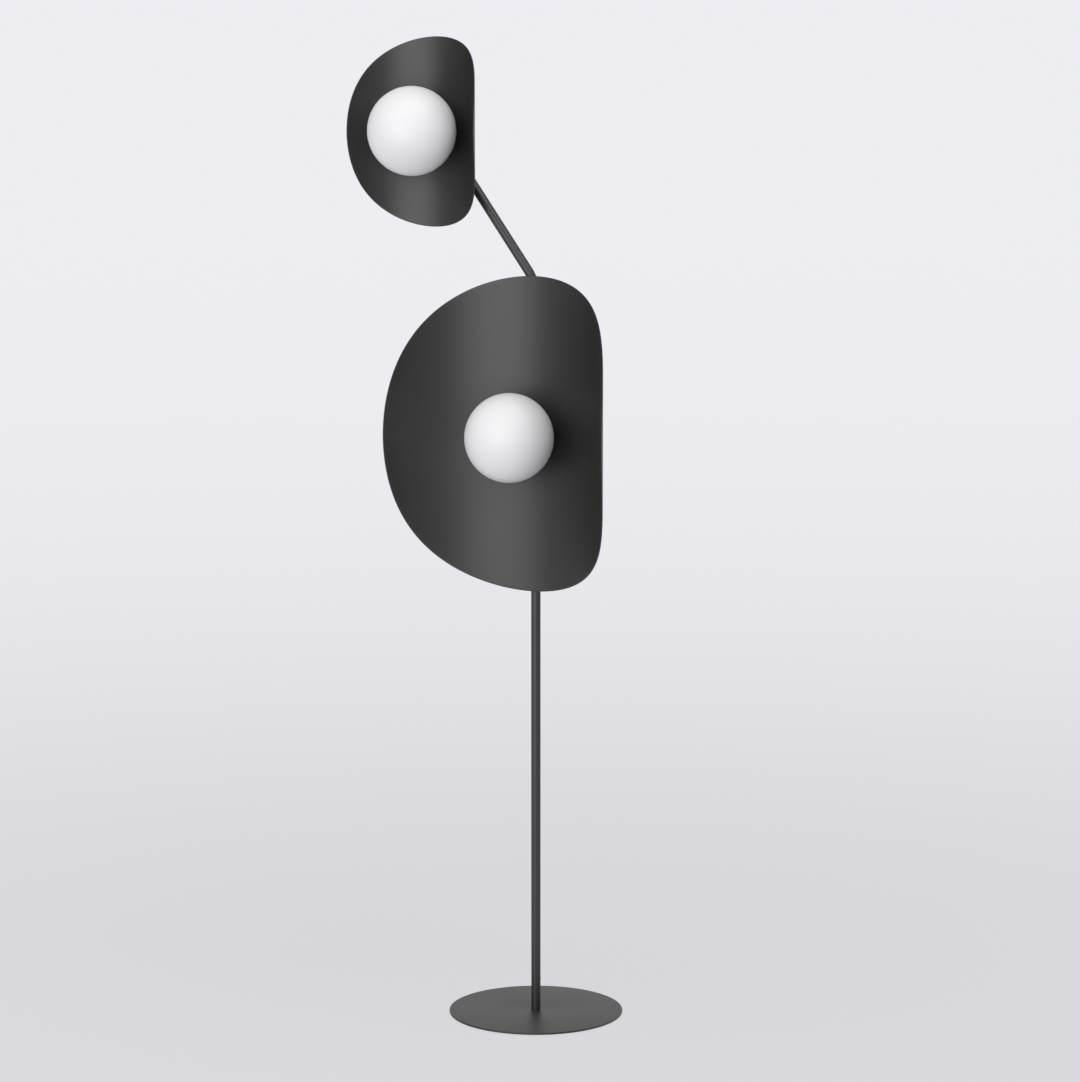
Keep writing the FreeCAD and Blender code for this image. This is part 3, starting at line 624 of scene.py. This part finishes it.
class LAMP_OT_shades(bpy.types.Operator):
    """Roll the two round shades"""

    bl_idname = "lamp.shades"
    bl_label = "Shades"

    def execute(self, context):
        sizes = context.scene.lamp_sizes
        tree = rolled_blank_tree()
        for head, blank, roll in (("lower", sizes.lower_blank, sizes.lower_roll),
                                  ("upper", sizes.upper_blank, sizes.upper_roll)):
            shade = add_mesh(head + "_rolled_shade", [], [])
            shaped_by(shade, tree, {
                "Blank Diameter": blank, "Hole Diameter": sizes.shade_hole, "Roll Radius": roll,
                "Forward": sizes.sheet_forward, "Spokes": SHADE_SPOKES, "Rings": SHADE_RINGS,
                "Finish": bpy.data.materials["powder_coat"]})
            wall = shade.modifiers.new("Sheet", "SOLIDIFY")
            wall.thickness = sizes.sheet
            wall.offset = 0
            rim = shade.modifiers.new("Rim", "BEVEL")
            rim.width = sizes.sheet * RIM_SHARE
            rim.segments = RIM_STEPS
            rim.angle_limit = math.radians(SHARP_RIM)
            shade = made_plain(shade)
            shade.data.transform(Matrix.Translation(head_point(head)))
            edged(shade, SHARP)
            finished(shade, head + "_shade_turning", "powder_coat", head + "_shade")
        return {"FINISHED"}


class LAMP_OT_tubes(bpy.types.Operator):
    """Draw the pole and the bent arm, with their side holes"""

    bl_idname = "lamp.tubes"
    bl_label = "Pole and Arm"

    def execute(self, context):
        sizes = context.scene.lamp_sizes
        tree = bent_tube_tree()
        pole_foot, pole_top = (p.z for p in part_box("lower_pole"))
        arm_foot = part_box("arm_tube")[0].z
        bend = Vector((0, 0, sizes.bend_height))
        upper = head_point("upper")
        slope = (upper - bend).normalized()
        nipple = extent("lower_nipple", 2) / 2 + NIPPLE_GAP
        screw = extent("foot_screw", 2) / 2 + SCREW_GAP
        rear, front = Vector((0, sizes.tube_diameter, 0)), Vector((0, -sizes.tube_diameter, 0))

        def hole(radius, height, side, x=0.0):
            """A hole from the tube's axis out to one side, as drilled takes it."""
            start = Vector((x, 0, height))
            return radius, start, start + side

        pole = add_mesh("pole", [(0, 0, pole_foot), (0, 0, pole_top)], [], [(0, 1)])
        arm = add_mesh("arm", [(0, 0, arm_foot), bend, upper + slope * sizes.arm_overrun],
                       [], [(0, 1), (1, 2)])
        drilling = {
            pole.name: [hole(screw, centre("foot_screw").z, rear),
                        hole(INLET_RADIUS, centre("inlet_grommet").z, rear),
                        hole(nipple, head_point("lower").z, front),
                        hole(screw, centre("insert_screw").z, rear)],
            arm.name: [hole(screw, centre("arm_stop_screw").z, rear),
                       hole(nipple, upper.z, front, upper.x)],
        }
        for tube, body, cad in ((pole, "stand", "lower_pole"), (arm, "arm", "arm_tube")):
            shaped_by(tube, tree, {
                "Outside Diameter": sizes.tube_diameter, "Bend Radius": sizes.bend_radius,
                "Ring Spacing": TUBE_RING_SPACING, "Sides": TUBE_SIDES,
                "Finish": bpy.data.materials["powder_coat"]})
            wall = tube.modifiers.new("Wall", "SOLIDIFY")
            wall.thickness = sizes.tube_wall
            wall.offset = -1
            tube = drilled(tube, drilling[tube.name])
            edged(tube, SHARP_DRILLING)
            finished(tube, body, "powder_coat", cad)
        return {"FINISHED"}


class LAMP_OT_foot(bpy.types.Operator):
    """Turn the round plate"""

    bl_idname = "lamp.foot"
    bl_label = "Foot"

    def execute(self, context):
        sizes = context.scene.lamp_sizes
        low, high = (p.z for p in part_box("base_plate"))
        rim = sizes.plate_diameter / 2
        bore = extent("base_spigot", 0) / 2 - TENON_STEP
        outline = rounded([(low, bore), (low, rim), (high, rim), (high, bore)], PLATE_EDGE, 4)
        plate = turned("foot_plate", outline, Vector(), (0, 0, 1), PLATE_SIDES)
        finished(plate, "stand", "powder_coat", "base_plate")
        return {"FINISHED"}


class LAMP_OT_globes(bpy.types.Operator):
    """Blow the two opal globes"""

    bl_idname = "lamp.globes"
    bl_label = "Globes"

    def execute(self, context):
        sizes = context.scene.lamp_sizes
        outer = sizes.globe_diameter / 2
        inner = outer - sizes.globe_wall
        mouth = sizes.globe_mouth / 2
        lip = mouth + sizes.globe_wall
        for head, body in HEADS:
            place = head_point(head)
            middle = -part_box(head + "_globe")[0].y - outer

            def arc(radius, start, end):
                """Points of the ball's section between two angles from its rear."""
                angles = (start + (end - start) * k / GLOBE_STEPS for k in range(GLOBE_STEPS + 1))
                return [Vector((middle - radius * math.cos(a), radius * math.sin(a)))
                        for a in angles]

            outside = arc(outer, math.asin(lip / outer), math.pi)
            inside = arc(inner, math.pi, math.asin(mouth / inner))
            inside[0].y = outside[-1].y = 0.0
            ground = outside[0].x
            ahead = ground + 3 * MOUTH_RIM
            edge = rounded([(ahead, lip), (ground, lip), (ground, mouth), (ahead, mouth)],
                           MOUTH_EDGE)
            edge = [p for p in edge if p.x < ground + MOUTH_RIM]
            outside = [p for p in outside if p.x > ground + MOUTH_RIM]
            globe = turned(head + "_opal_globe", edge[::-1] + outside + inside, place,
                           sides=GLOBE_SIDES)
            finished(globe, body, "opal_glass", head + "_globe")
        return {"FINISHED"}


class LAMP_OT_head_rings(bpy.types.Operator):
    """Turn each head's seat, gasket, collar, nut and washers with their edges broken"""

    bl_idname = "lamp.head_rings"
    bl_label = "Head Rings"

    def execute(self, context):
        sizes = context.scene.lamp_sizes
        nipple = extent("lower_nipple", 2) / 2 + NIPPLE_GAP
        spigot = sizes.globe_mouth / 2 - SEAT_INSIDE_MOUTH
        for head, body in HEADS:
            place = head_point(head)

            def span(part):
                """Where a CAD piece starts and ends along the axis, and its radius."""
                low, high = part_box(head + "_" + part)
                return -high.y, -low.y, (high.z - low.z) / 2

            def ring(name, part, slot, corners, edge):
                """A ring with its corners rounded, in place of a CAD piece."""
                piece = turned(head + "_" + name, rounded(corners, edge), place)
                finished(piece, body, slot, head + "_" + part)

            start, end, outer = span("globe_seat")
            face = start + SEAT_THICKNESS
            hollow = spigot - SEAT_WALL
            ring("turned_seat", "globe_seat", "powder_coat", [
                (start, nipple), (start, outer), (face, outer), (face, spigot), (end, spigot),
                (end, hollow), (face, hollow), (face, nipple)], SEAT_EDGE)
            start, end, outer = span("globe_gasket")
            inner = outer - GASKET_WIDTH
            ring("soft_gasket", "globe_gasket", "soft_rubber", [
                (start, inner), (start, outer), (end, outer), (end, inner)], GASKET_EDGE)
            start, end, outer = span("globe_collar")
            inner, hub = spigot + COLLAR_GAP, spigot + COLLAR_HUB
            face = start + COLLAR_THICKNESS
            ring("turned_collar", "globe_collar", "powder_coat", [
                (start, inner), (start, outer), (face, outer), (face, hub),
                (end, hub), (end, inner)], COLLAR_EDGE)
            start, end, outer = span("rear_washer")
            ring("slip_washer", "rear_washer", "slip_plastic", [
                (start, nipple), (start, outer), (end, outer), (end, nipple)], WASHER_EDGE)
            start, end, outer = span("wave_washer")
            inner = nipple + NIPPLE_GAP
            ring("pressed_washer", "wave_washer", "plated_steel", [
                (start, inner), (start, outer), (end, outer), (end, inner)], WASHER_EDGE)
            start, end, outer = span("jam_nut")
            flats = [(start + NUT_SLOPE, outer), (end - NUT_SLOPE, outer)]
            mouth = nipple + NUT_BREAK
            outline = [(start, NUT_CROWN), *flats, (end, NUT_CROWN), (end, mouth),
                       (end - NUT_BREAK, nipple), (start + NUT_BREAK, nipple), (start, mouth)]
            nut = turned(head + "_hexagon_nut", [Vector(p) for p in outline], place,
                         hexagons=flats, sharp=SHARP_HEXAGON)
            finished(nut, body, "plated_steel", head + "_jam_nut")
        return {"FINISHED"}


class LAMP_OT_screws(bpy.types.Operator):
    """Turn the three set screws with chamfered ends and hexagon sockets"""

    bl_idname = "lamp.screws"
    bl_label = "Set Screws"

    def execute(self, context):
        screws = (("foot_screw", "stand"), ("insert_screw", "stand"), ("arm_stop_screw", "arm"))
        for cad, body in screws:
            low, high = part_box(cad)
            radius = (high.z - low.z) / 2
            tip, end = low.y, high.y
            floor = end - SOCKET_DEPTH
            key = [(end - SOCKET_BREAK, SOCKET_HALF_WIDTH), (floor, SOCKET_HALF_WIDTH)]
            outline = [(tip, 0), (floor - SOCKET_CONE, 0), *key[::-1],
                       (end, SOCKET_HALF_WIDTH + SOCKET_BREAK),
                       (end, radius - SCREW_BREAK), (end - SCREW_BREAK, radius),
                       (tip + SCREW_TIP, radius), (tip, radius - SCREW_TIP)]
            place = Vector((centre(cad).x, 0, centre(cad).z))
            screw = turned("socket_" + cad, [Vector(p) for p in outline], place, (0, 1, 0),
                           SCREW_SIDES, hexagons=key, sharp=SHARP_HEXAGON)
            finished(screw, body, "dark_screw", cad)
        return {"FINISHED"}


class LAMP_OT_stage(bpy.types.Operator):
    """Set the pale floor, the soft lamps and the camera"""

    bl_idname = "lamp.stage"
    bl_label = "Stage"

    def execute(self, context):
        scene = context.scene
        stage = scene.lamp_stage
        scene.view_settings.view_transform = "Standard"
        self.lay_floor(stage)
        self.light_room(scene, stage)
        self.light_lamps(scene, stage)
        self.aim_camera(scene)
        return {"FINISHED"}

    def lay_floor(self, stage):
        """A round floor: shaded near the lamp, and a plain glow farther out."""
        outline = [(0, 0), (0, FLOOR_RADIUS), (-FLOOR_THICKNESS, FLOOR_RADIUS),
                   (-FLOOR_THICKNESS, 0)]
        floor = turned("floor", [Vector(p) for p in outline], Vector(), (0, 0, 1))
        material, tree, place = new_material("stage_floor")
        distance = node(tree, "ShaderNodeVectorMath", {0: place},
                        operation="LENGTH").outputs["Value"]
        square = maths(tree, "MULTIPLY", distance, distance)
        halfway = maths(tree, "ADD", square, stage.fade_distance ** 2)
        fade = maths(tree, "DIVIDE", square, halfway)
        colour = mixed_colour(tree, fade, stage.near_floor, stage.far_floor)
        diffuse = node(tree, "ShaderNodeBsdfDiffuse", {"Color": colour})
        glow = node(tree, "ShaderNodeEmission", {"Color": colour, "Strength": 1.0})
        near = maths(tree, "POWER", maths(tree, "SUBTRACT", 1.0, fade), 4.0)
        far = maths(tree, "MULTIPLY_ADD", near, -stage.floor_shade, 1.0)
        rays = node(tree, "ShaderNodeLightPath").outputs
        seen = maths(tree, "MULTIPLY", rays["Is Camera Ray"], far)
        shader = node(tree, "ShaderNodeMixShader", {
            0: seen, 1: diffuse.outputs[0], 2: glow.outputs[0]})
        node(tree, "ShaderNodeOutputMaterial", {"Surface": shader.outputs[0]})
        floor.data.materials.append(material)

    def light_room(self, scene, stage):
        """The room's soft light, with a brighter backdrop behind the lamp in glossy surfaces."""
        scene.world = bpy.data.worlds.new("Studio")
        scene.world.use_nodes = True
        sky = scene.world.node_tree
        sky.nodes.clear()
        rays = node(sky, "ShaderNodeLightPath").outputs
        seen = maths(sky, "MAXIMUM", rays["Is Camera Ray"], rays["Is Transmission Ray"])
        direction = node(sky, "ShaderNodeTexCoord").outputs["Generated"]
        toward = node(sky, "ShaderNodeSeparateXYZ", {0: direction})
        behind = node(sky, "ShaderNodeMapRange", {
            "Value": toward.outputs["Y"],
            "From Min": BACKDROP_START, "From Max": BACKDROP_FULL,
            "To Min": stage.room_gloss, "To Max": stage.backdrop_gloss},
            interpolation_type="SMOOTHSTEP").outputs[0]
        lit = mixed_number(sky, rays["Is Glossy Ray"], stage.world_light, behind)
        strength = mixed_number(sky, seen, lit, 1.0)
        tone = mixed_colour(sky, seen, stage.room_colour, stage.far_floor)
        back = node(sky, "ShaderNodeBackground", {"Color": tone, "Strength": strength})
        node(sky, "ShaderNodeOutputWorld", {"Surface": back.outputs[0]})

    def light_lamps(self, scene, stage):
        """Soft square lamps round the globes, aimed at them by angles from -Y."""
        key, fill = stage.key_power, stage.fill_power
        lamps = (       # power, azimuth and elevation in degrees, distance, width, height
            ("key", key, 0, 8, 3.5, 4.0, 3.0),
            ("left", fill * 0.5, -12, 45, 3.5, 1.6, 1.6),
            ("right", fill * 3.5, 62, 58, 3.5, 1.6, 1.6),
            ("top", fill * 0.7, 0, 78, 2.3, 1.4, 1.4),
        )
        for name, power, azimuth, elevation, distance, width, height in lamps:
            data = bpy.data.lights.new(name, "AREA")
            data.shape = "RECTANGLE"
            data.size, data.size_y, data.energy = width, height, power
            lamp = bpy.data.objects.new(name, data)
            scene.collection.objects.link(lamp)
            turn, rise = math.radians(azimuth), math.radians(elevation)
            out = Vector((math.sin(turn) * math.cos(rise), -math.cos(turn) * math.cos(rise),
                          math.sin(rise)))
            lamp.location = LAMP_TARGET + out * distance
            lamp.rotation_mode = "QUATERNION"
            lamp.rotation_quaternion = (-out).to_track_quat("-Z", "Y")

    def aim_camera(self, scene):
        """The photograph's camera."""
        data = bpy.data.cameras.new("camera")
        data.lens = CAMERA_LENS
        data.sensor_width = CAMERA_SENSOR
        data.clip_end = CAMERA_REACH
        camera = bpy.data.objects.new("camera", data)
        scene.collection.objects.link(camera)
        camera.location = CAMERA_PLACE
        camera.rotation_euler = (math.radians(90 - CAMERA_DOWN), 0, math.radians(CAMERA_TURN))
        scene.camera = camera


class LAMP_PT_panel(bpy.types.Panel):
    """Sizes, finishes and operators of the lamp"""

    bl_idname = "LAMP_PT_panel"
    bl_label = "Floor Lamp"
    bl_space_type = "VIEW_3D"
    bl_region_type = "UI"
    bl_category = "Lamp"

    def draw(self, context):
        scene = context.scene
        for group in (scene.lamp_sizes, scene.lamp_finishes, scene.lamp_stage):
            box = self.layout.box()
            for key in group.bl_rna.properties.keys():
                if key not in ("rna_type", "name"):
                    box.prop(group, key)
        for operator in OPERATORS:
            self.layout.operator(operator.bl_idname)


OPERATORS = (LAMP_OT_finishes, LAMP_OT_shades, LAMP_OT_tubes, LAMP_OT_foot, LAMP_OT_globes,
             LAMP_OT_head_rings, LAMP_OT_screws, LAMP_OT_stage)
CLASSES = (LampSizes, LampFinishes, LampStage, *OPERATORS, LAMP_PT_panel)


def register():
    for cls in CLASSES:
        bpy.utils.register_class(cls)
    bpy.types.Scene.lamp_sizes = PointerProperty(type=LampSizes)
    bpy.types.Scene.lamp_finishes = PointerProperty(type=LampFinishes)
    bpy.types.Scene.lamp_stage = PointerProperty(type=LampStage)


def unregister():
    del bpy.types.Scene.lamp_stage, bpy.types.Scene.lamp_finishes, bpy.types.Scene.lamp_sizes
    for cls in reversed(CLASSES):
        bpy.utils.unregister_class(cls)


def main():
    """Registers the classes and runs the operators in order."""
    register()
    bpy.ops.lamp.finishes()
    bpy.ops.lamp.shades()
    bpy.ops.lamp.tubes()
    bpy.ops.lamp.foot()
    bpy.ops.lamp.globes()
    bpy.ops.lamp.head_rings()
    bpy.ops.lamp.screws()
    bpy.ops.lamp.stage()


if __name__ == "__main__":
    main()
